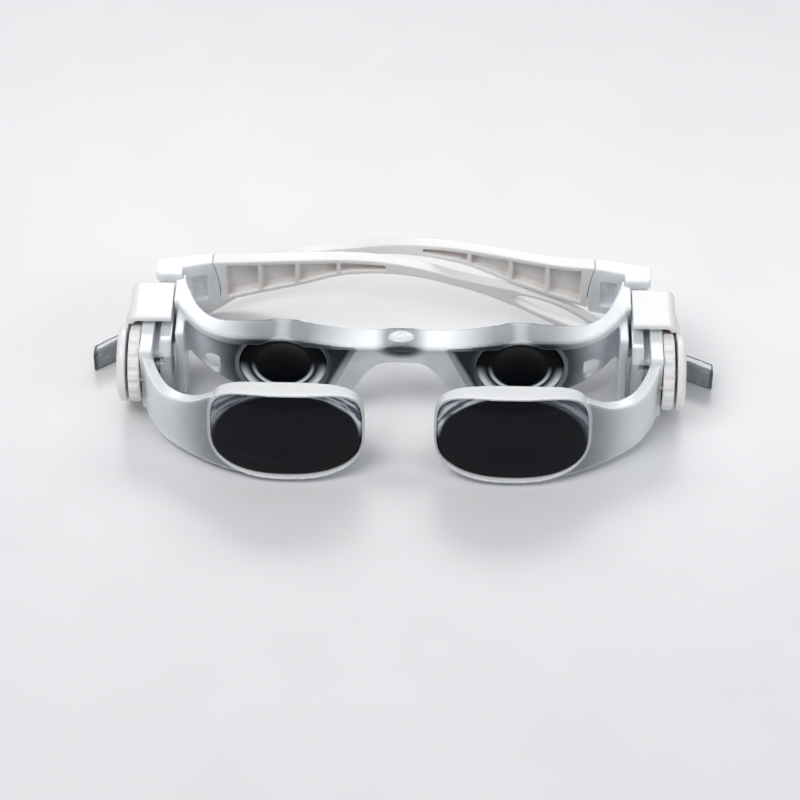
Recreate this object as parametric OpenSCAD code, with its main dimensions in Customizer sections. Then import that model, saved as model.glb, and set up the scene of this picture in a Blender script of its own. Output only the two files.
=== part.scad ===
// Binocular magnifier worn like spectacles, resting folded on its two lens carriers.
// +X is the wearer's left, +Y points to the wearer's face, +Z is up; millimetres.
// The origin is the middle of the footprint, on the surface that the object rests on.
// Parts are drawn for the wearer's left side and mirrored for the right side.

/* [Optics] */
// Distance between the two eyepiece centres
eye_spacing = 65; // [63:0.5:67]
// Diameter of an eyepiece lens
eye_lens_d = 24; // [22:0.5:25]
// Thickness of an eyepiece lens at its edge
eye_lens_t = 4.5; // [4:0.1:5]
// Width of an objective lens
objective_w = 40.6; // [38:0.2:41]
// Height of an objective lens
objective_h = 25.2; // [24:0.2:26]
// Backward lean of the objective lenses in degrees
objective_lean = 12; // [10:0.5:13]

/* [Focus drive] */
// Radius of a focus wheel
wheel_r = 10.6; // [10.4:0.1:11]
// Number of grip notches round a focus wheel
wheel_notches = 18; // [12:1:24]
// Travel of an objective carrier each way from the middle
focus_travel = 2.5; // [1.5:0.1:2.5]
// Turn of a focus wheel each way from the middle in degrees
focus_turn = 135; // [120:5:140]
// Diameter of a wheel axle
axle_d = 4; // [3.6:0.1:4]
// Diameter of a follower pin in its scroll groove
follower_d = 1.6; // [1.4:0.1:1.7]

/* [Temples] */
// Length of a temple with its clear tip, from the seam
arm_len = 139.5; // [138:0.5:141]
// Wall thickness of a temple's channel section
arm_wall = 1.4; // [1.2:0.1:1.6]
// Sideways bow of the rear temple over the front one
rear_bow = 14; // [13.4:0.1:14.6]
// Diameter of a temple hinge pin
hinge_pin_d = 2; // [1.6:0.1:2.2]

/* [Hidden] */
$fn = 64;
eps = 0.02;
// Reach of a cutting shape that passes right through
far = 60;

// Running clearance on a radius
run_gap = 0.05;
// Y of the eyepiece plane, so that the origin is the middle of the footprint
eye_y = -3.21;
eye_x = eye_spacing / 2;
// Front of an eyepiece lens, from the eyepiece plane
eye_lens_y = -2.5;
// Height of both lens axes above the surface
axis_z = 13.5;

// Heights of the frame
ledge_z = 24;
arm_z = 12;
top_z = 28;

// The stack of plates and wheel along X at each side
frame_side_x = 62.6;
guide_t = 3.3;
guide_x = frame_side_x + guide_t;
carrier_in_x = 67.6;
carrier_out_x = 71;
pin_seat_x = carrier_in_x + 1;
wheel_in_x = 71.2;
wheel_out_x = 74.2;
cover_in_x = 75;
cover_out_x = 77.3;
housing_out_x = 74.8;
axle_out_x = cover_out_x - 0.8;

// The wheel axis runs along X through this point of the side view
wheel_y = -3;
wheel_z = axis_z;
// The scroll groove's radius runs evenly from its least to its greatest value
scroll_mid_r = 6.2;
scroll_depth = 1.4;
scroll_gap = 0.1;
scroll_end = 14;

// Rails of a carrier in the grooves of its guide plate
rail_z = [8, 19];
rail_h = 2;
rail_depth = 1.2;
rail_gap = 0.1;

// Cover housing and its two screws
housing_y = [0.5, 15.2];
housing_round = 2.6;
housing_z = [11, 27];
housing_wall = 1.5;
screw_y = 11.4;
screw_z = [14.5, 22];
screw_r = 1;
screw_end_x = 59.6;
screw_head_r = 1.9;
screw_head_h = 0.9;
boss_r = 2.2;

// Temple hinge
pin_x = 64.4;
pin_y = 20.6;
knuckle_r = 3.3;
tongue_z = [15, 25];
// Faces of the hinge link in plan, each from its outer corner to the seam
link_out_x = 68.4;
link_near_y = 17.3;
seam_x = 53.2;
link_front = [[61.1, 20.3], [53.2, 22.3], [49, 22.9]];
link_back = [[49, 27.2], [53.2, 26.9], [link_out_x, 23.9]];
arm_end_y = 17;
// Plan of the tongue up to its knuckle, which clears the guide plate and the cover
tongue_foot = [[59.2, 13], [frame_side_x, 13], [frame_side_x, 14.2], [63.4, 15.5]];
tongue_in_y = 15.8;
// Round clearance for the knuckle in the end of the side arm
knuckle_room_r = 5.35;
seam_gap = 0.15;
// Curve of the seam in the front view, as [offset from seam_x, height]
seam_line = [[0, top_z], [-0.8, 25], [-1.7, 20], [-1.9, 16], [-1.5, arm_z]];

// Temple, as [distance from the seam, height] for its edges
arm_top = [[0, top_z], [19, top_z], [35, 27.9], [44, 27.2], [52.5, 25.8], [61, 23.6], [67.5, 21.4],
    [75, 19.6], [82, 18.2], [89.5, 16.4], [97, 14.4], [104, 11.4], [111.5, 8.8], [120, 7.4], [131, 6.8],
    [arm_len, 6.4]];
arm_bottom = [[0, 13], [11.5, 16], [24, 18.8], [35, 22], [44, 22.6], [52.5, 22.1], [61, 20.4],
    [67.5, 18.3], [75, 15.8], [82, 12.8], [89.5, 9.2], [97, 5.4], [104, 2.6], [111.5, 0.6], [120, 0],
    [131, 0], [arm_len, 0]];
// Temple in plan, as [distance from the seam, inner face, thickness, share of the rear temple's bow]
arm_plan = [[-2, 22.3, 4.6, 0], [9.5, 22.9, 4.3, 0.03], [24, 23.9, 4, 0.2], [47.5, 25.1, 3.8, 0.53],
    [62, 25.2, 3.6, 0.78], [76, 24.9, 3.4, 0.95], [95, 23.2, 3.2, 1], [109, 18.9, 3.2, 0.84],
    [124, 11.8, 3.6, 0.53], [arm_len, 4, 4, 0.24]];
// Where the ribs of the channel stand along a temple
arm_ribs = [3.3, 13.2, 23.5, 35, 48.6];
rib_t = 1.1;
// Tongue by which a temple seats in its hinge link
arm_tongue_out = 3.8;
arm_tongue_y = 23.4;
arm_tongue_z = 17;
arm_tongue_t = 1.8;
arm_tongue_h = 5;
// Distance from the seam at which the clear tip starts
tip_s = 113.5;
// Oval opening in a temple's broad end, as [distance from the seam, height]
oval_at = [95.5, 10.9];
oval_size = [25, 5];
oval_tilt = 20;

// Frame ledge in plan, front edge and back edge of one half
ledge_front = [[0, -8.4], [7, -8.3], [13, -8.2], [21, -7.8], [31, -6.8], [40, -6.8], [47, -6.2],
    [53.6, -3.2], [58.4, 1.8], [61.8, 6.8]];
ledge_back = [[0, -0.8], [10, -0.5], [20, 0.2], [29, 1.2], [37, 1.2], [46, 0.9], [51, 1.8], [55.4, 5.6],
    [57.6, 10], [59, 13.4], [60, arm_end_y]];
// Frame wall in plan, front face of one half
wall_face = [[0, -5.4], [8, -5.2], [14, -4.4], [20, -3], [26, -1.9], [eye_x, -1.6], [40, -1.9],
    [46, -2.2], [51, -0.8], [55.6, 2.2], [59.6, 6.2]];
wall_t = 2.6;
// Frame in front view, top edge and bottom edge of one half
frame_top = [[0, 26.3], [3, 26], [6, 25.4], [11, 25.2], [16, 25.3], [22, 25.8], [30, 26.4], [42, 26.5],
    [54, 26.6], [60, 27.3], [64, top_z], [71, top_z]];
frame_bottom = [[71, arm_z], [61.8, arm_z], [58.4, 10.6], [53, 8.4], [46.4, 5.6], [40, 2.4], [eye_x, 1.2],
    [26, 1.6], [21, 2.6], [16.4, 3], [12.5, 9.2], [9.6, 14.4], [6.6, 17.6], [4, 18.5], [0, 18.7]];
// Nose part in front view, outer edge from top to bottom
nose_outer = [[11.6, 24.8], [17.4, 11.1], [21, 2.6]];
nose_y = [-7, -2];
ring_r = eye_lens_d / 2 + 1.2;
ring_y = [-3.6, 1.9];
ring_top_z = 26.3;
// Where the side arm starts in plan, and the upright rib beside it
side_arm_at = [49, 3.6];
end_rib_at = [59.4, -3.6, 2.6];
end_rib_size = [2.3, 10.2, 22.4];
// Hole shaped like a D beside each lens, in the front view
d_hole_at = [51.4, axis_z - 2];
d_hole_r = 3.1;
d_hole_flat = 1.4;

// Share of the carrier arm's thickness by which its inner face lies further in
arm_skew = 0.75;
// Carrier arm, as [x, y and height of the outer lower edge, thickness, height, lean]
carrier_path = [[70.9, -4, 3, 3.2, 21, 0], [70.5, -9, 3, 3, 20, 0], [68.4, -14.6, 2.8, 2.8, 17, 2],
    [64.4, -20.6, 2.4, 2.8, 15.2, 5], [57.5, -25.9, 1.8, 2.8, 16.8, 9], [50.6, -29.8, 1.4, 3.4, 21.4, 12],
    [46, -31.7, 1.2, 4.2, 24.2, 12], [40, -33.4, 1.1, 4.4, 25.6, 12]];
// Carrier rim in plan inside the leaning frame of a lens, outer and inner faces
rim_front = [[8, 2.6], [14, 0.9], [22, -0.8], [30, -1.3], [38, -0.7], [46, 1.3], [53, 4]];
rim_back = [[53, 7.6], [46, 6.8], [38, 6], [30, 5.9], [22, 5.8], [14, 5.5], [8, 5.2]];
rim_t = 0.75;
// Depths, in the leaning frame, between which the rim lies and its lens opening is cut
rim_depth = [-4, 12];
opening_depth = [-6, 14];
lens_x = 30.3;
lens_y = -34;
lens_z = 0.6;
lens_up = 13.6;
// Powers of the outline's curve: 2 is an ellipse, more is nearer to a rectangle
lens_fullness_top = 4.2;
lens_fullness_bottom = 2.8;
objective_r = 55;
objective_front_y = -1.1;
objective_back_y = 4.8;
fit_gap = 0.05;

// Points along a smooth curve through the points p, with n steps a span
function curve_at(a, b, c, d, t) =
    0.5 * (2 * b + (c - a) * t + (2 * a - 5 * b + 4 * c - d) * t * t + (3 * b - a - 3 * c + d) * t * t * t);
function curve(p, n = 4) = concat(
    [for (i = [0 : len(p) - 2], k = [0 : n - 1])
        curve_at(p[max(i - 1, 0)], p[i], p[i + 1], p[min(i + 2, len(p) - 1)], k / n)],
    [p[len(p) - 1]]);
function reversed(p) = [for (i = [len(p) - 1 : -1 : 0]) p[i]];
function moved(p, dx, dy) = [for (q = p) [q[0] + dx, q[1] + dy]];

// Outline of an objective lens about its centre: fuller at the top, more arched at the bottom
function lens_outline(grow) = [for (a = [0 : 7.5 : 352.5])
    let (e = 2 / (sin(a) >= 0 ? lens_fullness_top : lens_fullness_bottom))
    [(objective_w / 2 + grow) * sign(cos(a)) * pow(abs(cos(a)), e),
     (objective_h / 2 + grow) * sign(sin(a)) * pow(abs(sin(a)), e)]];

// Radius of the scroll groove at angle a in the wheel's side view
function scroll_r(a) = scroll_mid_r + focus_travel * (a - 180) / focus_turn;
function scroll_edge(offset) = [for (i = [0 : 48])
    let (a = 180 - focus_turn - scroll_end + i * (focus_turn + scroll_end) / 24)
    (scroll_r(a) + offset) * [cos(a), sin(a)]];

module placed(left = true) {
    translate([0, eye_y, 0])
        mirror([left ? 0 : 1, 0, 0])
            children();
}

// Extrude a side view, drawn as [y, z], along X
module along_x(x0, x1) {
    translate([x0, 0, 0]) rotate([90, 0, 90]) linear_extrude(x1 - x0) children();
}

// Extrude a front view, drawn as [x, z], along Y
module along_y(y0, y1) {
    translate([0, y1, 0]) rotate([90, 0, 0]) linear_extrude(y1 - y0) children();
}

module disc_x(x0, x1, r, y, z) {
    translate([x0, y, z]) rotate([0, 90, 0]) cylinder(r = r, h = x1 - x0);
}

// Place what is drawn in the leaning frame of an objective lens
module leaning() {
    translate([0, lens_y, lens_z]) rotate([-objective_lean, 0, 0]) children();
}

module front_view_half() {
    polygon(concat(curve(frame_top), curve(frame_bottom, 3)));
}

module frame_half() {
    // Brow ledge and the side arm that runs back to the temple hinge
    intersection() {
        translate([0, 0, arm_z]) linear_extrude(top_z - arm_z)
            difference() {
                polygon(concat(curve(ledge_front), [[frame_side_x, 7], [frame_side_x, 15.4], [64, arm_end_y]],
                    reversed(curve(ledge_back))));
                translate([pin_x, pin_y]) circle(knuckle_room_r);
            }
        along_y(-far, far) front_view_half();
        union() {
            translate([-1, -far, ledge_z]) cube([2 * far, 2 * far, far]);
            translate([side_arm_at[0], side_arm_at[1], 0]) cube(far);
        }
    }
    // Wall that holds the lens
    intersection() {
        linear_extrude(ledge_z + eps)
            polygon(concat(curve(wall_face), reversed(moved(curve(wall_face), 0, wall_t))));
        along_y(-far, far) front_view_half();
    }
    // Splayed nose part beside the notch
    intersection() {
        along_y(nose_y[0], nose_y[1])
            polygon(concat([[0, ledge_z + eps]], nose_outer, [[0, 3]]));
        along_y(-far, far) front_view_half();
    }
    intersection() {
        translate([eye_x, ring_y[1], axis_z])
            rotate([90, 0, 0]) cylinder(r = ring_r, h = ring_y[1] - ring_y[0]);
        translate([0, -far, 0]) cube([far, 2 * far, ring_top_z]);
    }
    // Upright rib at the end of the wall
    translate(end_rib_at) cube(end_rib_size);
    // Tongue of the temple hinge
    translate([0, 0, tongue_z[0]]) linear_extrude(tongue_z[1] - tongue_z[0]) {
        polygon(concat(tongue_foot, [[pin_x + knuckle_r, tongue_foot[3][1]], [pin_x + knuckle_r, pin_y],
            [pin_x - knuckle_r, pin_y], [pin_x - knuckle_r, tongue_in_y]]));
        translate([pin_x, pin_y]) circle(knuckle_r);
    }
}

module frame_cuts() {
    translate([eye_x, far, axis_z]) rotate([90, 0, 0]) cylinder(r = eye_lens_d / 2 + fit_gap, h = 2 * far);
    along_y(-6, 6) translate(d_hole_at) intersection() {
        circle(d_hole_r);
        translate([-d_hole_flat, -d_hole_r]) square(2 * d_hole_r);
    }
    translate([pin_x, pin_y, 0]) cylinder(r = hinge_pin_d / 2 + run_gap, h = far);
    for (z = screw_z)
        disc_x(screw_end_x - 0.2, 2 * far, screw_r + eps, screw_y, z);
}

module eyepiece_frame() {
    color([0.9, 0.92, 0.93, 0.8]) translate([0, eye_y, 0]) difference() {
        union() {
            frame_half();
            mirror([1, 0, 0]) frame_half();
        }
        frame_cuts();
        mirror([1, 0, 0]) frame_cuts();
    }
}

// Thick-edged diverging lens, hollowed on both sides
module eyepiece_lens(left) {
    hollow_r = 22;
    hollow_depth = 1.4;
    color([0.16, 0.18, 0.2, 0.6]) placed(left)
        translate([eye_x, eye_lens_y, axis_z]) rotate([-90, 0, 0]) difference() {
            cylinder(d = eye_lens_d, h = eye_lens_t);
            translate([0, 0, hollow_depth - hollow_r]) sphere(hollow_r);
            translate([0, 0, eye_lens_t - hollow_depth + hollow_r]) sphere(hollow_r);
        }
}

// Converging lens with a shaped outline, domed in front and flat behind
module objective_lens(left) {
    color([0.16, 0.18, 0.2, 0.6]) placed(left) leaning() intersection() {
        along_y(-4, objective_back_y) polygon(moved(lens_outline(0), lens_x, lens_up));
        translate([lens_x, objective_front_y + objective_r, lens_up]) sphere(objective_r, $fn = 128);
    }
}

// The four corners of the arm's section at one point of its path
function arm_section(p) = let (a = p[5], h = p[4], t = p[3])
    [[p[0], p[1], p[2]], [p[0], p[1] + h * sin(a), p[2] + h * cos(a)],
     [p[0] - t * arm_skew, p[1] + h * sin(a) + t, p[2] + h * cos(a)], [p[0] - t * arm_skew, p[1] + t, p[2]]];

// Solid skin over four-cornered sections
module skin(sections) {
    n = len(sections);
    polyhedron(
        points = [for (s = sections) each s],
        faces = concat(
            [[0, 1, 2, 3]],
            [for (i = [0 : n - 2], k = [0 : 3])
                [4 * i + k, 4 * i + 4 + k, 4 * i + 4 + (k + 1) % 4, 4 * i + (k + 1) % 4]],
            [[4 * n - 1, 4 * n - 2, 4 * n - 3, 4 * n - 4]]));
}

module objective_carrier(left) {
    plate_y = [-10, 6];
    plate_z = [3, 24];
    rail_half = 6;
    slot_r = axle_d / 2 + 2 * run_gap;
    color([0.92, 0.94, 0.95, 0.8]) placed(left) difference() {
        union() {
            intersection() {
                skin([for (p = curve(carrier_path, 6)) arm_section(p)]);
                translate([0, -far, 0]) cube([carrier_out_x, 2 * far, far]);
            }
            leaning() intersection() {
                along_y(rim_depth[0], rim_depth[1]) polygon(moved(lens_outline(rim_t), lens_x, lens_up));
                translate([0, 0, -far / 2]) linear_extrude(2 * far)
                    polygon(concat(curve(rim_front), curve(rim_back)));
            }
            // Side plate with its two guide rails
            translate([carrier_in_x, plate_y[0], plate_z[0]])
                cube([carrier_out_x - carrier_in_x, plate_y[1] - plate_y[0], plate_z[1] - plate_z[0]]);
            for (z = rail_z)
                translate([guide_x - rail_depth, -rail_half, z - rail_h / 2])
                    cube([carrier_in_x - guide_x + rail_depth + eps, 2 * rail_half, rail_h]);
        }
        // Foot: what would reach below the resting surface
        translate([0, -far, -far]) cube([2 * far, 2 * far, far]);
        leaning() along_y(opening_depth[0], opening_depth[1])
            polygon(moved(lens_outline(fit_gap), lens_x, lens_up));
        // Slot for the wheel axle
        for (y = [wheel_y - focus_travel, wheel_y + focus_travel])
            disc_x(far, 2 * far, slot_r, y, wheel_z);
        translate([far, wheel_y - focus_travel, wheel_z - slot_r]) cube([far, 2 * focus_travel, 2 * slot_r]);
        // Seat of the follower pin
        disc_x(pin_seat_x, 2 * far, follower_d / 2, wheel_y - scroll_mid_r, wheel_z);
    }
}

module follower_pin(left) {
    pin_end_x = wheel_in_x + scroll_depth - 0.1;
    color([0.75, 0.76, 0.78]) placed(left)
        disc_x(pin_seat_x, pin_end_x, follower_d / 2, wheel_y - scroll_mid_r, wheel_z);
}

// Wheel with grip notches and the scroll groove in its inner face
module focus_wheel(left) {
    notch_r = 1.2;
    notch_depth = 0.6;
    notch_z = wheel_r + notch_r - notch_depth;
    edge = 0.5;
    wheel_t = wheel_out_x - wheel_in_x;
    color([0.95, 0.94, 0.92]) placed(left) translate([0, wheel_y, wheel_z]) difference() {
        translate([wheel_in_x, 0, 0]) rotate([0, 90, 0]) rotate_extrude($fn = 128)
            polygon([[0, 0], [wheel_r - edge, 0], [wheel_r, edge], [wheel_r, wheel_t - edge],
                [wheel_r - edge, wheel_t], [0, wheel_t]]);
        for (i = [0 : wheel_notches - 1])
            rotate([360 * i / wheel_notches, 0, 0])
                disc_x(wheel_in_x - 1, wheel_out_x + 1, notch_r, 0, notch_z, $fn = 24);
        disc_x(wheel_in_x - 1, wheel_out_x + 1, axle_d / 2 + run_gap, 0, 0);
        along_x(wheel_in_x - 1, wheel_in_x + scroll_depth)
            polygon(concat(scroll_edge(follower_d / 2 + scroll_gap),
                reversed(scroll_edge(-follower_d / 2 - scroll_gap))));
    }
}

module wheel_axle(left) {
    color([0.75, 0.76, 0.78]) placed(left)
        disc_x(frame_side_x, axle_out_x, axle_d / 2, wheel_y, wheel_z);
}

module spring_washer(left) {
    washer_r = 3.4;
    color([0.8, 0.81, 0.83]) placed(left) difference() {
        disc_x(wheel_out_x + run_gap, cover_in_x - run_gap, washer_r, wheel_y, wheel_z);
        disc_x(wheel_out_x - 1, cover_in_x + 1, axle_d / 2 + 2 * run_gap, wheel_y, wheel_z);
    }
}

// Clear plate fixed to the frame, with grooves for the carrier's rails
module guide_plate(left) {
    color([0.8, 0.85, 0.88, 0.4]) placed(left) difference() {
        along_x(frame_side_x, guide_x)
            polygon([[-8, 4], [8, 4], [8, 11.5], [14, 11.5], [14, 23.5], [-5, 23.5], [-8, 20.5]]);
        for (z = rail_z)
            translate([guide_x - rail_depth - rail_gap, -far, z - rail_h / 2 - rail_gap])
                cube([far, 2 * far, rail_h + 2 * rail_gap]);
        disc_x(far, 2 * far, axle_d / 2, wheel_y, wheel_z);
        for (z = screw_z)
            disc_x(far, 2 * far, screw_r + run_gap, screw_y, z);
    }
}

// Points round the housing's upper outer corner, in the front view
function corner(r) = [for (a = [0 : 15 : 90])
    [housing_out_x - housing_round + r * cos(a), housing_z[1] - housing_round + r * sin(a)]];

// Roof and side wall of the housing as one bent shell
module housing_shell() {
    inner_r = housing_round - housing_wall;
    polygon(concat([[housing_out_x, housing_z[0]]], corner(housing_round),
        [[frame_side_x + 0.3, housing_z[1]], [frame_side_x + 0.3, housing_z[1] - housing_wall]],
        reversed(corner(inner_r)), [[housing_out_x - housing_wall, housing_z[0]]]));
}

// Opaque cover: a disc beside the wheel, joined to a housing behind it
module side_cover(left) {
    edge = 0.9;
    cover_t = cover_out_x - cover_in_x;
    wall_x = housing_out_x - housing_wall;
    wall_y = wheel_y + wheel_r + 0.8;
    web_t = 1.6;
    web_z = [wheel_z, 19, 24];
    color([0.96, 0.95, 0.94]) placed(left) difference() {
        union() {
            translate([cover_in_x, wheel_y, wheel_z]) rotate([0, 90, 0]) rotate_extrude($fn = 128)
                polygon([[0, 0], [wheel_r, 0], [wheel_r, cover_t - edge], [wheel_r - edge, cover_t],
                    [0, cover_t]]);
            // Flared web from the disc back to the side wall
            along_y(housing_y[0], wall_y + 1)
                polygon([[housing_out_x - eps, web_z[0]], [housing_out_x + web_t, web_z[0]],
                    [housing_out_x + web_t, web_z[1]], [housing_out_x - eps, web_z[2]]]);
            translate([wall_x, wall_y, web_z[0]]) cube([housing_wall + web_t, 1, web_z[1] - web_z[0]]);
            // Shell behind the wheel, and its roof alone above the wheel
            along_y(wall_y, housing_y[1]) housing_shell();
            along_y(housing_y[0], wall_y + eps) intersection() {
                housing_shell();
                translate([0, wheel_z + wheel_r + 0.3]) square(2 * far);
            }
            // Back wall
            along_y(housing_y[1] - housing_wall, housing_y[1])
                polygon(concat([[guide_x, housing_z[0]], [housing_out_x, housing_z[0]]],
                    corner(housing_round), [[guide_x, housing_z[1]]]));
            for (z = screw_z)
                disc_x(guide_x, wall_x + eps, boss_r, screw_y, z);
        }
        disc_x(cover_in_x - 1, axle_out_x, axle_d / 2, wheel_y, wheel_z);
        for (z = screw_z) {
            disc_x(far, 2 * far, screw_r + run_gap, screw_y, z);
            disc_x(housing_out_x - 0.1 - screw_head_h, 2 * far, screw_head_r + run_gap, screw_y, z);
        }
    }
}

module cover_screws(left) {
    slot = [1, 2.8, 0.5];
    head_x = housing_out_x - 0.1 - screw_head_h;
    color([0.72, 0.73, 0.75]) placed(left) for (z = screw_z)
        difference() {
            union() {
                disc_x(screw_end_x, head_x + eps, screw_r, screw_y, z);
                disc_x(head_x, head_x + screw_head_h, screw_head_r, screw_y, z);
            }
            translate([housing_out_x - 0.5, screw_y - slot[1] / 2, z - slot[2] / 2]) cube(slot);
        }
}

module hinge_pin(left) {
    color([0.75, 0.76, 0.78]) placed(left)
        translate([pin_x, pin_y, arm_z + 0.2]) cylinder(d = hinge_pin_d, h = top_z - arm_z - 0.9);
}

// Frosted corner piece that carries the temple and turns on the hinge pin
module hinge_link(left) {
    knuckle_cut_x = pin_x - knuckle_r - 0.6;
    tongue_gap = 0.15;
    // Shallow recess in the front face
    link_recess_at = [54.6, 18, 15];
    link_recess_size = [4.6, 4.6, 8.6];
    color([0.92, 0.94, 0.95, 0.8]) placed(left) difference() {
        intersection() {
            translate([0, 0, arm_z]) linear_extrude(top_z - arm_z)
                polygon(concat(link_front, link_back, [[link_out_x, link_near_y + 1],
                    [link_out_x - 1, link_near_y], [pin_x - knuckle_r, link_near_y]]));
            along_y(0, far)
                polygon(concat(moved(curve(seam_line), seam_x, 0), [[2 * far, arm_z], [2 * far, top_z]]));
        }
        translate([knuckle_cut_x, 10, tongue_z[0] - tongue_gap])
            cube([20, 20, tongue_z[1] - tongue_z[0] + 2 * tongue_gap]);
        translate([pin_x, pin_y, arm_z - 1]) cylinder(r = hinge_pin_d / 2 + run_gap, h = top_z - arm_z + 0.4);
        translate(link_recess_at) cube(link_recess_size);
        // Socket for the temple's tongue
        translate([seam_x - far, arm_tongue_y - fit_gap, arm_tongue_z - fit_gap])
            cube([far + arm_tongue_out + fit_gap, arm_tongue_t + 2 * fit_gap, arm_tongue_h + 2 * fit_gap]);
    }
}

// Plan band of a temple, between two depths measured from its inner face
module arm_band(bow, depth0, web) {
    p = curve(arm_plan, 5);
    linear_extrude(far) polygon(concat(
        [for (q = p) [seam_x - q[0], q[1] + bow * q[3] + depth0]],
        reversed([for (q = p) [seam_x - q[0], q[1] + bow * q[3] + q[2] - web]])));
}

// Side outline of a temple, drawn in by inset at its two edges
module arm_outline(inset) {
    along_y(-far, far) polygon(concat(
        [for (q = curve(arm_top)) [seam_x - q[0], q[1] - inset]],
        reversed([for (q = curve(arm_bottom)) [seam_x - q[0], q[1] + inset]])));
}

module arm_between(s0, s1) {
    translate([seam_x - s1, -far, -1]) cube([s1 - s0, 2 * far, far]);
}

module temple(left) {
    bow = left ? rear_bow : 0;
    color([0.96, 0.95, 0.94]) placed(left) {
        difference() {
            intersection() {
                arm_band(bow, 0, 0);
                arm_outline(0);
                arm_between(-1, tip_s);
            }
            // End that meets the curved seam
            along_y(0, far) polygon(concat(moved(curve(seam_line), seam_x - seam_gap, 0),
                [[2 * far, arm_z], [2 * far, far], [seam_x - seam_gap, far]]));
            // Open channel between the ribs, on the inner face
            for (i = [0 : len(arm_ribs) - 2])
                intersection() {
                    arm_band(bow, -2, arm_wall);
                    arm_outline(arm_wall);
                    arm_between(arm_ribs[i] + rib_t / 2, arm_ribs[i + 1] - rib_t / 2);
                }
            along_y(-far, far) translate([seam_x - oval_at[0], oval_at[1]]) rotate(oval_tilt)
                polygon([for (a = [0 : 10 : 350]) [oval_size[0] / 2 * cos(a), oval_size[1] / 2 * sin(a)]]);
        }
        // Tongue that seats in the hinge link
        translate([seam_x - 3, arm_tongue_y, arm_tongue_z])
            cube([3 + arm_tongue_out, arm_tongue_t, arm_tongue_h]);
    }
}

// Clear curved tip at the end of a temple
module temple_tip(left) {
    bow = left ? rear_bow : 0;
    color([0.75, 0.78, 0.8, 0.5]) placed(left) intersection() {
        arm_band(bow, 0, 0);
        arm_outline(0);
        arm_between(tip_s, arm_len + 1);
    }
}

eyepiece_frame();
eyepiece_lens(false);  // right_eyepiece_lens
eyepiece_lens(true);  // left_eyepiece_lens
guide_plate(false);  // right_guide_plate
guide_plate(true);  // left_guide_plate
side_cover(false);  // right_side_cover
side_cover(true);  // left_side_cover
cover_screws(false);  // right_cover_screws
cover_screws(true);  // left_cover_screws
wheel_axle(false);  // right_wheel_axle
wheel_axle(true);  // left_wheel_axle
spring_washer(false);  // right_spring_washer
spring_washer(true);  // left_spring_washer
hinge_pin(false);  // right_hinge_pin
hinge_pin(true);  // left_hinge_pin
focus_wheel(false);  // right_focus_wheel
focus_wheel(true);  // left_focus_wheel
objective_carrier(false);  // right_objective_carrier
objective_carrier(true);  // left_objective_carrier
objective_lens(false);  // right_objective_lens
objective_lens(true);  // left_objective_lens
follower_pin(false);  // right_follower_pin
follower_pin(true);  // left_follower_pin
hinge_link(false);  // right_hinge_link
hinge_link(true);  // left_hinge_link
temple(false);  // right_temple
temple(true);  // left_temple
temple_tip(false);  // right_temple_tip
temple_tip(true);  // left_temple_tip
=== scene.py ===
"""Looks for the spectacle-style binocular magnifier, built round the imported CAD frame."""
import math

import bmesh
import bpy
from mathutils import Matrix, Vector
from mathutils.bvhtree import BVHTree


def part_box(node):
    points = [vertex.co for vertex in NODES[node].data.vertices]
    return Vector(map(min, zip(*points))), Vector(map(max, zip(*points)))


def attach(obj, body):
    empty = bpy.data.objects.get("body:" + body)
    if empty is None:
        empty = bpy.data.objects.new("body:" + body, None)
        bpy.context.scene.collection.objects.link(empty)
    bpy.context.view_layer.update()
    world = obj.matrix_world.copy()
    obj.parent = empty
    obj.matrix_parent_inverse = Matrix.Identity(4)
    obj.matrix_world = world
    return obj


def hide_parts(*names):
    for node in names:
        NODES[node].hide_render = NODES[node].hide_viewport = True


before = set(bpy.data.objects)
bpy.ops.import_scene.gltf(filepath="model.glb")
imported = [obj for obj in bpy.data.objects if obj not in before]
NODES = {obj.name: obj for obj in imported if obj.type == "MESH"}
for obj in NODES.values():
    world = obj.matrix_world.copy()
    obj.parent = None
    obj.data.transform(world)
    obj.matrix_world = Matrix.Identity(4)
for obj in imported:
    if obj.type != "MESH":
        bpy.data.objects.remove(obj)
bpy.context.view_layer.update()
MM = 0.001
# Sign of x on the wearer's right and left
SIDES = {"right": -1, "left": 1}
# How far the objectives lean back
LEAN = math.radians(12)


def centre(node):
    """Middle of a CAD node's box."""
    lo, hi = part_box(node)
    return (lo + hi) / 2


EYE_C = centre("left_eyepiece_lens")
# The clear part of an objective is centred a little below its rim's middle
OBJ_C = centre("left_objective_lens") + Vector((0, 0, -1.2 * MM))
FRAME_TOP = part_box("eyepiece_frame")[1].z


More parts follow.
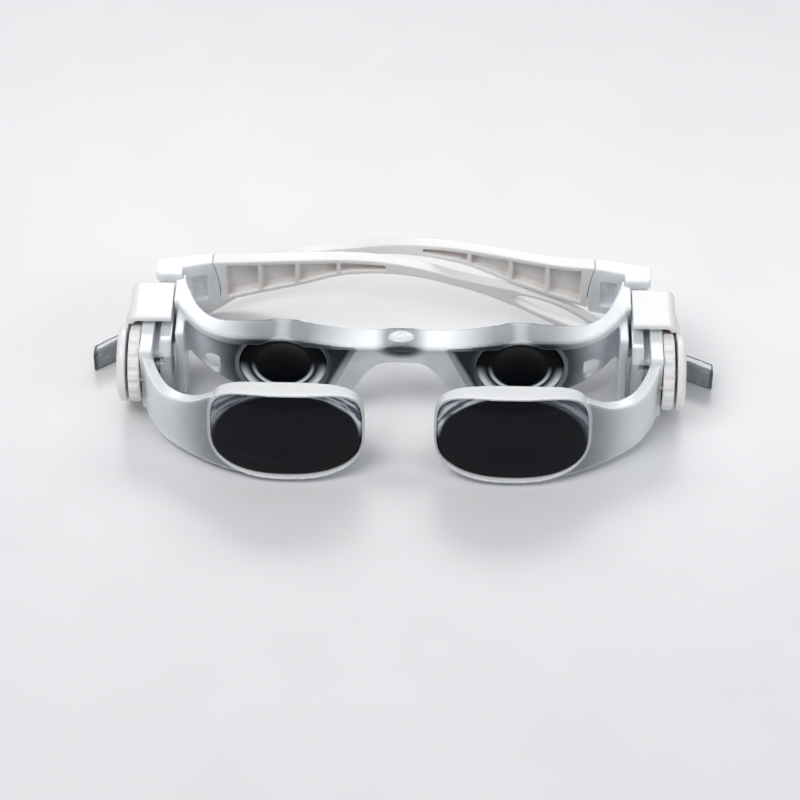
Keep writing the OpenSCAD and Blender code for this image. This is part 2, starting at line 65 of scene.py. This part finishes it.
# ---------------------------------------------------------------- materials
class Tree:
    """Short calls for building one material's nodes. All coordinates are in metres."""

    def __init__(self, name):
        self.mat = bpy.data.materials.new(name)
        self.mat.use_nodes = True
        self.nt = self.mat.node_tree
        self.nt.nodes.clear()
        self.out = self.nt.nodes.new("ShaderNodeOutputMaterial")
        self.bsdf = self.add("ShaderNodeBsdfPrincipled")
        self.link(self.bsdf.outputs[0], self.out.inputs[0])
        self.coord = self.add("ShaderNodeTexCoord").outputs["Object"]

    def add(self, kind, **props):
        n = self.nt.nodes.new(kind)
        for k, v in props.items():
            setattr(n, k, v)
        return n

    def link(self, a, b):
        self.nt.links.new(a, b)

    def put(self, node, socket, value):
        """Link or set one input, whichever the value calls for."""
        if isinstance(value, bpy.types.NodeSocket):
            self.link(value, node.inputs[socket])
        else:
            node.inputs[socket].default_value = value

    def math(self, op, a, b=0.0, c=0.0, clamp=False):
        n = self.add("ShaderNodeMath", operation=op, use_clamp=clamp)
        self.put(n, 0, a)
        self.put(n, 1, b)
        self.put(n, 2, c)
        return n.outputs[0]

    def noise(self, scale, detail=2.0, rough=0.5, stretch=None):
        v = self.coord
        if stretch:
            m = self.add("ShaderNodeMapping")
            self.link(self.coord, m.inputs[0])
            m.inputs["Scale"].default_value = stretch
            v = m.outputs[0]
        n = self.add("ShaderNodeTexNoise")
        self.link(v, n.inputs["Vector"])
        n.inputs["Scale"].default_value = scale
        n.inputs["Detail"].default_value = detail
        n.inputs["Roughness"].default_value = rough
        return n.outputs[0]

    def ramp(self, value, lo, hi, a=0.0, b=1.0):
        """Smooth step from a to b, as the value goes from lo to hi."""
        n = self.add("ShaderNodeMapRange", interpolation_type="SMOOTHSTEP")
        self.put(n, "Value", value)
        for key, v in (("From Min", lo), ("From Max", hi), ("To Min", a), ("To Max", b)):
            n.inputs[key].default_value = v
        return n.outputs[0]

    def mix(self, fac, a, b):
        n = self.add("ShaderNodeMix", data_type="RGBA")
        self.put(n, 0, fac)
        for i, v in ((6, a), (7, b)):
            self.put(n, i, (*v, 1) if isinstance(v, tuple) else v)
        return n.outputs[2]

    def axis(self, i, source=None):
        """Component i of a vector, by default of the place on the object."""
        n = self.add("ShaderNodeSeparateXYZ")
        self.link(source or self.coord, n.inputs[0])
        return n.outputs[i]

    def bump(self, height, strength, distance):
        n = self.add("ShaderNodeBump")
        self.put(n, "Height", height)
        n.inputs["Strength"].default_value = strength
        n.inputs["Distance"].default_value = distance
        self.link(n.outputs[0], self.bsdf.inputs["Normal"])

    def set(self, **values):
        """Inputs of the main shader by name, with _ for a space."""
        for k, v in values.items():
            key = k.replace("_", " ")
            if isinstance(v, tuple):
                v = (*v, 1)
            self.put(self.bsdf, key, v)


def open_share(t, reach, inside):
    """Share of rays that get away within the reach: low in hollows, or inside at thin edges."""
    ao = t.add("ShaderNodeAmbientOcclusion", samples=8, inside=inside, only_local=True)
    ao.inputs["Distance"].default_value = reach
    return ao.outputs["AO"]


# Colours that several materials share: a painted highlight for thin edges, and painted shade for the
# dark that clear parts would show
PAINTED_EDGE_HIGHLIGHT = (0.98, 0.985, 1.0)
PAINTED_SHADE_BEHIND = (0.012, 0.024, 0.040)
# Outer edges of the nose part: half width at the foot, and how much narrower each metre up
NOSE_HALF_W = 22.1 * MM
NOSE_TAPER = 0.4234


def beside_nose(t, ax, up):
    """0 on the nose part and 1 outside it. The step is sharp on the wall and soft on the top faces."""
    edge = t.math("MULTIPLY_ADD", t.axis(2), -NOSE_TAPER, NOSE_HALF_W)
    past = t.math("SUBTRACT", ax, edge)
    soft = t.math("MULTIPLY_ADD", up, 13.0 * MM, 1.2 * MM)
    return t.math("DIVIDE", past, soft, clamp=True)


def painted_shade_zone(t, ax, up, zone):
    """The strength of a zone of painted shade inside it, falling to 0 at its edge. ax is the distance
    from the object's middle plane, so that a zone shows on both halves; up is 1 on the top faces and 0
    on the walls."""
    off = t.math("SUBTRACT", ax, zone["x"])
    outward = t.math("DIVIDE", off, zone["half_w"])
    dx = t.math("MAXIMUM", outward, t.math("DIVIDE", off, -zone["inward"]))
    dz = t.math("DIVIDE", t.math("SUBTRACT", t.axis(2), zone["z"]), zone["half_h"])
    d = t.math("SQRT", t.math("ADD", t.math("MULTIPLY", dx, dx), t.math("MULTIPLY", dz, dz)))
    share = t.math("MULTIPLY", t.ramp(d, zone["full"], 1.0, 1.0, 0.0), zone["strength"])
    if zone["spares_nose"]:
        share = t.math("MULTIPLY", share, beside_nose(t, ax, up))
    return share


def frosted(name, white, grey, zones=(), lip=1.2 * MM, top_dark=0.8):
    """Milky polycarbonate with a painted highlight along its thin edges and, in the given zones,
    painted shade for the dark that clear plastic would show.
    lip is the depth of the painted edge highlight; top_dark is how much of the painted shade shows on
    the top faces, which are kept lighter as if lit from above."""
    t = Tree(name)
    cloud = t.noise(60, 3, 0.55)
    grain = t.noise(1500, 2, 0.5)
    col = t.mix(t.ramp(cloud, 0.35, 0.75), white, grey)
    # Painted highlight: where rays cast inwards soon leave, the edge is thin and turns nearly white
    painted_edge = t.ramp(open_share(t, lip, True), 0.50, 0.88, 0.9, 0.0)
    col = t.mix(painted_edge, col, PAINTED_EDGE_HIGHLIGHT)
    glow, coat = 0.5, 0.3
    # Painted shade: dark towards the middle of each zone, kept off the nose part, weaker on top faces
    # as if they caught the light, and weaker at the painted edge highlight
    if zones:
        ax = t.math("ABSOLUTE", t.axis(0))
        up = t.ramp(t.axis(2, t.add("ShaderNodeNewGeometry").outputs["Normal"]), 0.45, 0.9)
        dark = 0.0
        for zone in zones:
            dark = t.math("MAXIMUM", dark, painted_shade_zone(t, ax, up, zone))
        dark = t.math("MULTIPLY", dark, t.math("MULTIPLY_ADD", up, top_dark - 1.0, 1.0))
        streak = t.noise(75, 2, 0.5, (1, 1, 1.4))
        dark = t.math("MULTIPLY", dark, t.ramp(streak, 0.3, 0.7, 1.0, 0.95))
        behind_rim = t.math("MULTIPLY_ADD", painted_edge, -0.4, 1.0)
        col = t.mix(t.math("MULTIPLY", dark, behind_rim), col, PAINTED_SHADE_BEHIND)
        glow = t.math("MULTIPLY_ADD", dark, -0.5, glow, clamp=True)
        coat = t.math("MULTIPLY_ADD", dark, -0.25, coat, clamp=True)
    t.set(Base_Color=col, Roughness=t.ramp(cloud, 0.3, 0.7, 0.26, 0.34), IOR=1.5)
    t.set(Subsurface_Weight=glow, Subsurface_Scale=3.0 * MM, Coat_Weight=coat, Coat_Roughness=0.2)
    t.bsdf.inputs["Subsurface Radius"].default_value = (1.0, 1.0, 1.1)
    t.bump(grain, 0.03, 0.03 * MM)
    return t.mat


def plastic(name, colour, shade_and_mottle_colour, rough=0.33):
    """Warm white satin plastic: fine spark grain, painted shade in a darker warm colour in its
    hollows, and faint mottling in that colour.
    """
    t = Tree(name)
    grain = t.noise(3200, 2, 0.6)
    cloud = t.noise(55, 3, 0.5)
    # Painted shade: hollows found by ambient occlusion take on the darker warm colour; the cloud adds
    # a faint mottle of it
    hollow = t.ramp(open_share(t, 3.0 * MM, False), 0.35, 1.0, 0.8, 0.0)
    shade_and_mottle = t.math("ADD", hollow, t.ramp(cloud, 0.4, 0.8, 0.0, 0.15), clamp=True)
    col = t.mix(shade_and_mottle, colour, shade_and_mottle_colour)
    t.set(Base_Color=col, Roughness=t.ramp(cloud, 0.3, 0.7, rough - 0.04, rough + 0.05), IOR=1.46)
    t.set(Subsurface_Weight=0.18, Subsurface_Scale=1.2 * MM)
    t.bump(grain, 0.08, 0.02 * MM)
    return t.mat


def clear_plastic(name, body, painted_edge, rough, transmission):
    """Clear moulding with painted shade where it is seen edge-on and along thin edges, and faint flow
    lines that also carry painted highlight streaks.
    """
    t = Tree(name)
    lw = t.add("ShaderNodeLayerWeight")
    lw.inputs[0].default_value = 0.40
    flow_and_highlight = t.noise(260, 3, 0.6, (0.35, 1, 2.2))
    # Painted shade: the edge colour where the surface turns edge-on, and along thin edges
    face = t.ramp(lw.outputs["Facing"], 0.12, 0.62)
    col = t.mix(face, body, painted_edge)
    painted_outline = t.ramp(open_share(t, 1.4 * MM, True), 0.5, 0.88, 0.9, 0.0)
    col = t.mix(painted_outline, col, painted_edge)
    # Painted highlight: light streaks along the flow noise
    col = t.mix(t.ramp(flow_and_highlight, 0.5, 0.72, 0.0, 0.35), col, (0.92, 0.95, 0.98))
    t.set(Base_Color=col, Roughness=t.ramp(flow_and_highlight, 0.3, 0.7, rough, rough + 0.08), IOR=1.5)
    t.set(Transmission_Weight=transmission, Coat_Weight=0.8, Coat_Roughness=0.03)
    t.bump(flow_and_highlight, 0.15, 0.3 * MM)
    return t.mat


def radial(t, middle, sx=1.0, sz=1.0):
    """Scaled offsets (x, z) from a lens centre on either side, and their square sum."""
    dx = t.math("DIVIDE", t.math("SUBTRACT", t.math("ABSOLUTE", t.axis(0)), middle.x), sx)
    dz = t.math("DIVIDE", t.math("SUBTRACT", t.axis(2), middle.z), sz)
    return dx, dz, t.math("ADD", t.math("MULTIPLY", dx, dx), t.math("MULTIPLY", dz, dz))


def painted_corner_streaks(t, dx, dz, q):
    """Painted highlight streaks that curl round the upper corners, from 0 to 1 and fading outwards."""
    polar = t.add("ShaderNodeCombineXYZ")
    t.link(t.math("MULTIPLY", q, 5.5), polar.inputs[0])
    t.link(t.math("MULTIPLY", t.math("ARCTAN2", dz, dx), 1.1), polar.inputs[1])
    t.link(t.math("MULTIPLY", t.axis(0), 30.0), polar.inputs[2])
    swirl = t.add("ShaderNodeTexNoise")
    t.link(polar.outputs[0], swirl.inputs["Vector"])
    for key, v in (("Scale", 1.6), ("Detail", 3.0), ("Roughness", 0.55)):
        swirl.inputs[key].default_value = v
    fading = t.ramp(dx, -0.9, 0.9, 1.0, 0.30)
    return t.math("MULTIPLY", t.ramp(swirl.outputs[0], 0.40, 0.60), fading)


def optical(name, middle, dark_oval=None, arcs=()):
    """Polished lens with a near-black colour, a painted shade for the dark behind it, and painted
    highlights with a painted glow for the light its thick edge gathers.
    Outside the oval given by dark_oval (half width, half height) the upper corners get painted
    highlights.
    arcs are (radius, width, strength) of painted highlight lines near the lower rim, which also glow
    faintly."""
    t = Tree(name)
    smear = t.noise(90, 3, 0.6, (1, 1, 2.5))
    # Painted shade: near-black for the dark seen through the lens, a little lighter in smears
    col = t.mix(t.ramp(smear, 0.55, 0.8, 0.0, 0.5), (0.004, 0.005, 0.007), (0.014, 0.018, 0.024))
    if dark_oval:
        dx, dz, q = radial(t, middle, *dark_oval)
        # Painted highlight in the upper corners, outside the oval
        painted_corner = t.math("MULTIPLY", t.ramp(q, 0.98, 1.12), t.ramp(dz, -0.1, 0.35))
        painted_corner_colour = t.mix(painted_corner_streaks(t, dx, dz, q), (0.075, 0.088, 0.108), (0.70, 0.74, 0.79))
        col = t.mix(painted_corner, col, painted_corner_colour)
    _, dz, q = radial(t, middle)
    r = t.math("SQRT", q)
    low = t.ramp(dz, -6.5 * MM, 1.0 * MM, 1.0, 0.0)
    painted_glow = 0.0
    # Painted highlight: bright arcs near the lower rim, with a faint painted glow
    for radius, width, power in arcs:
        off = t.math("ABSOLUTE", t.math("SUBTRACT", r, radius))
        painted_arc = t.math("MULTIPLY", t.ramp(off, 0.0, width, power, 0.0), low)
        col = t.mix(painted_arc, col, (0.80, 0.86, 0.93))
        painted_glow = t.math("ADD", painted_glow, t.math("MULTIPLY", painted_arc, 0.28))
    if arcs:
        t.set(Emission_Color=(0.86, 0.92, 1.0), Emission_Strength=painted_glow)
    t.set(Base_Color=col, Roughness=t.ramp(smear, 0.3, 0.8, 0.02, 0.06), IOR=1.5)
    t.set(Specular_IOR_Level=0.16)
    return t.mat


def steel(name):
    """Brushed steel, with its brush lines round the x axis."""
    t = Tree(name)
    brush = t.noise(900, 3, 0.7, (12, 1, 1))
    col = t.mix(t.ramp(brush, 0.3, 0.7), (0.56, 0.57, 0.59), (0.74, 0.75, 0.77))
    t.set(Base_Color=col, Metallic=1.0, Roughness=t.ramp(brush, 0.3, 0.7, 0.22, 0.42))
    t.bump(brush, 0.2, 0.02 * MM)
    return t.mat


# Zones of painted shade, for the dark that clear plastic would show: centre, half sizes outwards and
# up, half size inwards, share that is full, strength
EYE_ZONE = {"x": EYE_C.x, "z": EYE_C.z, "half_w": 24.0 * MM, "half_h": 28.0 * MM,
            "inward": 40.0 * MM, "full": 0.50, "strength": 1.0, "spares_nose": True}
# The bridge zone paints shade round the gate mark on top of the nose bridge
BRIDGE_ZONE = {"x": 0.0, "z": FRAME_TOP - 3.6 * MM, "half_w": 8.0 * MM, "half_h": 4.6 * MM,
               "inward": 8.0 * MM, "full": 0.45, "strength": 1.0, "spares_nose": False}
OBJ_ZONE = {"x": OBJ_C.x, "z": OBJ_C.z, "half_w": 36.0 * MM, "half_h": 40.0 * MM,
            "inward": 40.0 * MM, "full": 0.58, "strength": 0.72, "spares_nose": False}
# Painted highlight arcs in an eyepiece, which also glow faintly: radius, width, strength
EYE_HIGHLIGHT_ARCS = [(8.2 * MM, 0.8 * MM, 0.9), (11.2 * MM, 2.2 * MM, 1.0)]
# Half width and half height of the dark middle oval in an objective; outside it the upper corners get
# painted highlights
OBJ_OVAL = (19.2 * MM, 13.6 * MM)
M_FRAME = frosted("frosted_front", (0.87, 0.89, 0.915), (0.70, 0.74, 0.785), [EYE_ZONE, BRIDGE_ZONE])
M_CARRIER = frosted("frosted_carrier", (0.86, 0.88, 0.905), (0.74, 0.775, 0.815),
                    [OBJ_ZONE], lip=1.5 * MM, top_dark=0.12)
M_LINK = frosted("frosted_link", (0.90, 0.915, 0.935), (0.78, 0.81, 0.845))
# White plastics: own colour, then the darker warm colour used for painted shade in hollows and for
# faint mottling
M_WHITE = plastic("warm_white", (0.90, 0.893, 0.88), (0.76, 0.69, 0.655))
M_COVER = plastic("cover_white", (0.90, 0.895, 0.885), (0.76, 0.70, 0.66), 0.28)
M_WHEEL = plastic("wheel_white", (0.91, 0.90, 0.885), (0.68, 0.56, 0.49), 0.36)
# Clear parts: body colour, painted edge shade colour, roughness, transmission
M_TIP = clear_plastic("clear_tip", (0.40, 0.44, 0.48), (0.012, 0.018, 0.026), 0.05, 0.30)
M_GUIDE = clear_plastic("clear_guide", (0.95, 0.96, 0.98), (0.62, 0.67, 0.73), 0.14, 0.25)
M_EYE = optical("eyepiece_optic", EYE_C, arcs=EYE_HIGHLIGHT_ARCS)
M_OBJ = optical("objective_optic", OBJ_C, dark_oval=OBJ_OVAL)
M_STEEL = steel("brushed_pin")


# ---------------------------------------------------------------- pieces
def new_object(name, mesh, material, body, slot, *nodes):
    """A piece that rides on a body and stands for the given CAD nodes."""
    mesh.materials.clear()
    mesh.materials.append(material)
    o = bpy.data.objects.new(name, mesh)
    bpy.context.scene.collection.objects.link(o)
    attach(o, body)
    if nodes:
        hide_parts(*nodes)
    return o


def applied(mesh, *mods):
    """The mesh after the given modifiers, each as (type, {setting: value})."""
    tmp = bpy.data.objects.new("tmp", mesh)
    bpy.context.scene.collection.objects.link(tmp)
    for kind, values in mods:
        m = tmp.modifiers.new(kind.lower(), kind)
        for k, v in values.items():
            setattr(m, k, v)
    bpy.context.view_layer.update()
    dg = bpy.context.evaluated_depsgraph_get()
    done = bpy.data.meshes.new_from_object(tmp.evaluated_get(dg))
    bpy.data.objects.remove(tmp)
    return done


def node_mesh(node):
    """A welded copy of a CAD node's mesh."""
    bm = bmesh.new()
    bm.from_mesh(NODES[node].data)
    bmesh.ops.remove_doubles(bm, verts=bm.verts, dist=1e-6)
    bmesh.ops.recalc_face_normals(bm, faces=bm.faces)
    me = bpy.data.meshes.new(node + "_copy")
    bm.to_mesh(me)
    bm.free()
    return me


def moulded(node, voxel, soften, material, body, slot, keep=0.4):
    """A moulded copy of a CAD node: every edge rounded, surfaces eased smooth.
    voxel is in mm, soften is the number of smoothing passes, keep the share of faces kept."""
    cells = {"mode": "VOXEL", "voxel_size": voxel * MM, "adaptivity": 0.0, "use_smooth_shade": True}
    me = applied(
        node_mesh(node),
        ("REMESH", cells),
        ("SMOOTH", {"factor": 0.5, "iterations": soften}),
        ("DECIMATE", {"ratio": keep}),
        ("WEIGHTED_NORMAL", {"mode": "FACE_AREA", "weight": 50, "keep_sharp": False}),
    )
    return new_object(node + "_moulded", me, material, body, slot, node)


def lathe(profile, steps=96):
    """Mesh of a profile of (radius, height) turned round +Z, closed on the axis."""
    bm = bmesh.new()
    rings = []
    for r, h in profile:
        if r < 1e-7:
            rings.append([bm.verts.new((0, 0, h))])
        else:
            angles = [2 * math.pi * i / steps for i in range(steps)]
            rings.append([bm.verts.new((r * math.cos(a), r * math.sin(a), h)) for a in angles])
    for a, b in zip(rings, rings[1:]):
        for i in range(steps):
            j = (i + 1) % steps
            quad = [a[i % len(a)], a[j % len(a)], b[j % len(b)], b[i % len(b)]]
            quad = [v for k, v in enumerate(quad) if v not in quad[:k]]
            if len(quad) > 2:
                bm.faces.new(quad)
    bmesh.ops.recalc_face_normals(bm, faces=bm.faces)
    me = bpy.data.meshes.new("lathe")
    bm.to_mesh(me)
    bm.free()
    me.shade_smooth()
    me.set_sharp_from_angle(angle=math.radians(28))
    return me


def eyepiece(side):
    """Thick-edged lens, hollowed on both faces, with small chamfers."""
    node = side + "_eyepiece_lens"
    lo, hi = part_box(node)
    c = centre(node)
    r = (hi.x - lo.x) / 2
    thick = hi.y - lo.y
    ball, depth, bevel, steps = 22 * MM, 1.4 * MM, 0.45 * MM, 14
    dish = math.sqrt(ball ** 2 - (ball - depth) ** 2)
    hollow = [dish * i / steps for i in range(steps + 1)]
    curve = [(a, depth - (ball - math.sqrt(ball ** 2 - a ** 2))) for a in hollow]
    near = curve + [(r - bevel, 0), (r, bevel)]
    far = [(a, thick - h) for a, h in reversed(near)]
    me = lathe(near + far)
    me.transform(Matrix.Translation((c.x, lo.y, c.z)) @ Matrix.Rotation(-math.pi / 2, 4, "X"))
    new_object(side + "_eyepiece_optic", me, M_EYE, "frame", "lens", node)


def objective(side):
    """Domed lens with a shaped outline, a thin chamfer and a flat back."""
    node = side + "_objective_lens"
    turn = Matrix.Rotation(-LEAN, 4, "X")
    pts = [turn.inverted() @ v.co for v in NODES[node].data.vertices]
    lo = Vector([min(p[i] for p in pts) for i in range(3)])
    hi = Vector([max(p[i] for p in pts) for i in range(3)])
    c = (lo + hi) / 2
    w = (hi.x - lo.x) / 2
    h = (hi.z - lo.z) / 2
    # fullness of the outline above and below the middle; 2 is an ellipse
    full_top, full_low = 4.2, 2.8
    ball, bevel = 55 * MM, 0.35 * MM
    steps, rings = 144, 18
    bm = bmesh.new()

    def outline(a, inset):
        cx, sz = math.cos(a), math.sin(a)
        e = 2 / (full_top if sz >= 0 else full_low)
        x = (w - inset) * math.copysign(abs(cx) ** e, cx)
        z = (h - inset) * math.copysign(abs(sz) ** e, sz)
        return x, z

    def ring(scale, inset, y_of):
        out = []
        for i in range(steps):
            x, z = outline(2 * math.pi * i / steps, inset)
            x, z = x * scale, z * scale
            out.append(bm.verts.new((c.x + x, y_of(x, z), c.z + z)))
        return out

    def dome(x, z):
        return lo.y + ball - math.sqrt(ball ** 2 - x * x - z * z)

    loops = [ring(k / rings, bevel, dome) for k in range(1, rings + 1)]
    loops.append(ring(1, 0, lambda x, z: dome(x, z) + bevel))
    loops.append(ring(1, 0, lambda x, z: hi.y - bevel))
    loops.append(ring(1, bevel, lambda x, z: hi.y))
    first = bm.verts.new((c.x, lo.y, c.z))
    last = bm.verts.new((c.x, hi.y, c.z))
    for i in range(steps):
        j = (i + 1) % steps
        bm.faces.new((first, loops[0][i], loops[0][j]))
        bm.faces.new((last, loops[-1][j], loops[-1][i]))
        for a, b in zip(loops, loops[1:]):
            bm.faces.new((a[i], a[j], b[j], b[i]))
    bmesh.ops.recalc_face_normals(bm, faces=bm.faces)
    me = bpy.data.meshes.new("dome")
    bm.to_mesh(me)
    bm.free()
    me.transform(turn)
    me.shade_smooth()
    me.set_sharp_from_angle(angle=math.radians(25))
    new_object(side + "_objective_optic", me, M_OBJ, side + "_carrier", "lens", node)


def ring_mark(name, node, x, z, r, material, body, slot):
    """A faint raised ring on the node's front face, as an ejector pin leaves."""
    co = [v.co.copy() for v in NODES[node].data.vertices]
    tree = BVHTree.FromPolygons(co, [tuple(p.vertices) for p in NODES[node].data.polygons])
    inward = Vector((0, 1, 0))
    start = Vector((x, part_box(node)[0].y - 10 * MM, z))
    hit, normal, _, _ = tree.ray_cast(start, inward)
    if hit is None:
        raise RuntimeError("no face under " + name)
    if normal.dot(inward) > 0:
        normal = -normal
    wide, root, crest = 0.22 * MM, -0.25 * MM, 0.16 * MM
    shoulder = crest * 0.6
    me = lathe([(r - wide, root), (r - wide, shoulder), (r - wide * 0.5, crest), (r, shoulder),
                (r, root), (r - wide, root)], 48)
    turn = normal.to_track_quat("Z", "Y").to_matrix().to_4x4()
    me.transform(Matrix.Translation(hit) @ turn)
    new_object(name, me, material, body, slot)


fine = 1.0
moulded("eyepiece_frame", 0.36 * fine, 5, M_FRAME, "frame", "frosted", 0.45)
for side in SIDES:
    eyepiece(side)
    objective(side)
    moulded(side + "_objective_carrier", 0.26 * fine, 9, M_CARRIER, side + "_carrier", "frosted", 0.35)
    moulded(side + "_hinge_link", 0.28 * fine, 4, M_LINK, side + "_temple", "frosted", 0.4)
    moulded(side + "_temple", 0.24 * fine, 3, M_WHITE, side + "_temple", "white", 0.3)
    moulded(side + "_temple_tip", 0.25 * fine, 30, M_TIP, side + "_temple", "clear", 0.4)
    moulded(side + "_side_cover", 0.26 * fine, 4, M_COVER, "frame", "white", 0.4)
    moulded(side + "_focus_wheel", 0.12 * fine, 1, M_WHEEL, side + "_wheel", "white", 0.2)
    moulded(side + "_guide_plate", 0.26 * fine, 3, M_GUIDE, "frame", "clear", 0.35)
    for part in ("cover_screws", "wheel_axle", "spring_washer", "hinge_pin", "follower_pin"):
        metal = NODES[side + "_" + part].data.materials
        metal.clear()
        metal.append(M_STEEL)

# Ejector marks in the temples' channels and the hinge links' recesses, all in mm:
# (distance from the seam between temple and link, height, radius)
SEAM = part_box("left_hinge_link")[0].x
CHANNEL_MARKS = {
    "right": [(9.5, 23.6, 1.5), (28, 25.0, 1.2)],
    "left": [(9.0, 22.6, 1.4), (39.5, 25.2, 1.1)],
}
LINK_MARK = (-5.6, 19.6, 1.7)


def seam_mark(name, side, part, place, material, slot):
    """A ring mark on a temple part, placed by its distance from the seam."""
    away, z, r = place
    x = SIDES[side] * (SEAM - away * MM)
    ring_mark(name, f"{side}_{part}", x, z * MM, r * MM, material, side + "_temple", slot)


for side in SIDES:
    for i, place in enumerate(CHANNEL_MARKS[side]):
        seam_mark(f"{side}_channel_mark_{i}", side, "temple", place, M_WHITE, "white")
    seam_mark(side + "_link_mark", side, "hinge_link", LINK_MARK, M_LINK, "frosted")

# Gate mark on top of the nose bridge: (radius, height) in mm, and a little wider than deep
GATE = [(0, 0.5), (0.9, 0.42), (1.2, 0.75), (2.0, 0.7), (2.9, 0.2), (3.3, -0.6), (0, -0.6)]
GATE_AT = (0, EYE_C.y - 4.4 * MM, 26.2 * MM)
gate = lathe([(r * MM, h * MM) for r, h in GATE])
gate.transform(Matrix.Translation(GATE_AT) @ Matrix.Diagonal((1.15, 0.8, 1, 1)))
new_object("bridge_gate_mark", gate, M_LINK, "frame", "frosted")

# ---------------------------------------------------------------- stage, light, camera
FLOOR_HALF = 3.0
floor = bpy.data.meshes.new("floor")
corners = [(x * FLOOR_HALF, y * FLOOR_HALF, 0) for x, y in ((-1, -1), (1, -1), (1, 1), (-1, 1))]
floor.from_pydata(corners, [], [(0, 1, 2, 3)])
stage = bpy.data.objects.new("floor", floor)
bpy.context.scene.collection.objects.link(stage)
stage.location.z = -0.2 * MM
pale = Tree("pale_floor")
speck = pale.ramp(pale.noise(30, 2, 0.5), 0.3, 0.7)
pale.set(Base_Color=pale.mix(speck, (0.78, 0.78, 0.785), (0.80, 0.80, 0.805)), Roughness=0.30)
floor.materials.append(pale.mat)

world = bpy.data.worlds.new("studio")
bpy.context.scene.world = world
world.use_nodes = True
bg = world.node_tree.nodes["Background"]
bg.inputs[0].default_value = (0.93, 0.96, 1.0, 1)
bg.inputs[1].default_value = 0.42


def area(name, at, target, size, power, colour=(1, 1, 1)):
    """A soft rectangular light that faces the target."""
    data = bpy.data.lights.new(name, "AREA")
    data.shape = "RECTANGLE"
    data.size, data.size_y = size
    data.energy = power
    data.color = colour
    o = bpy.data.objects.new(name, data)
    bpy.context.scene.collection.objects.link(o)
    o.location = at
    o.rotation_mode = "QUATERNION"
    o.rotation_quaternion = (Vector(target) - Vector(at)).to_track_quat("-Z", "Y")


area("key", (-0.35, -0.25, 0.75), (0, 0, 0), (0.5, 0.35), 3.0)
area("fill", (0.55, -0.35, 0.45), (0, 0, 0), (0.35, 0.35), 1.0, (0.95, 0.98, 1.0))
area("back", (0.05, 0.65, 0.55), (0, 0, 0.01), (0.7, 0.2), 2.2)

AIM = Vector((0, EYE_C.y, EYE_C.z))
AZIMUTH = math.radians(1.4)
ELEVATION = math.radians(43)
DISTANCE = 0.830
lens = bpy.data.cameras.new("camera")
lens.lens = 135.9
lens.shift_x = -0.0022
lens.shift_y = -0.05
camera = bpy.data.objects.new("camera", lens)
bpy.context.scene.collection.objects.link(camera)
level = math.cos(ELEVATION)
away = Vector((math.sin(AZIMUTH) * level, -math.cos(AZIMUTH) * level, math.sin(ELEVATION)))
camera.location = AIM + away * DISTANCE
camera.rotation_mode = "QUATERNION"
camera.rotation_quaternion = (-away).to_track_quat("-Z", "Y")
bpy.context.scene.camera = camera
bpy.context.scene.view_settings.view_transform = "Standard"
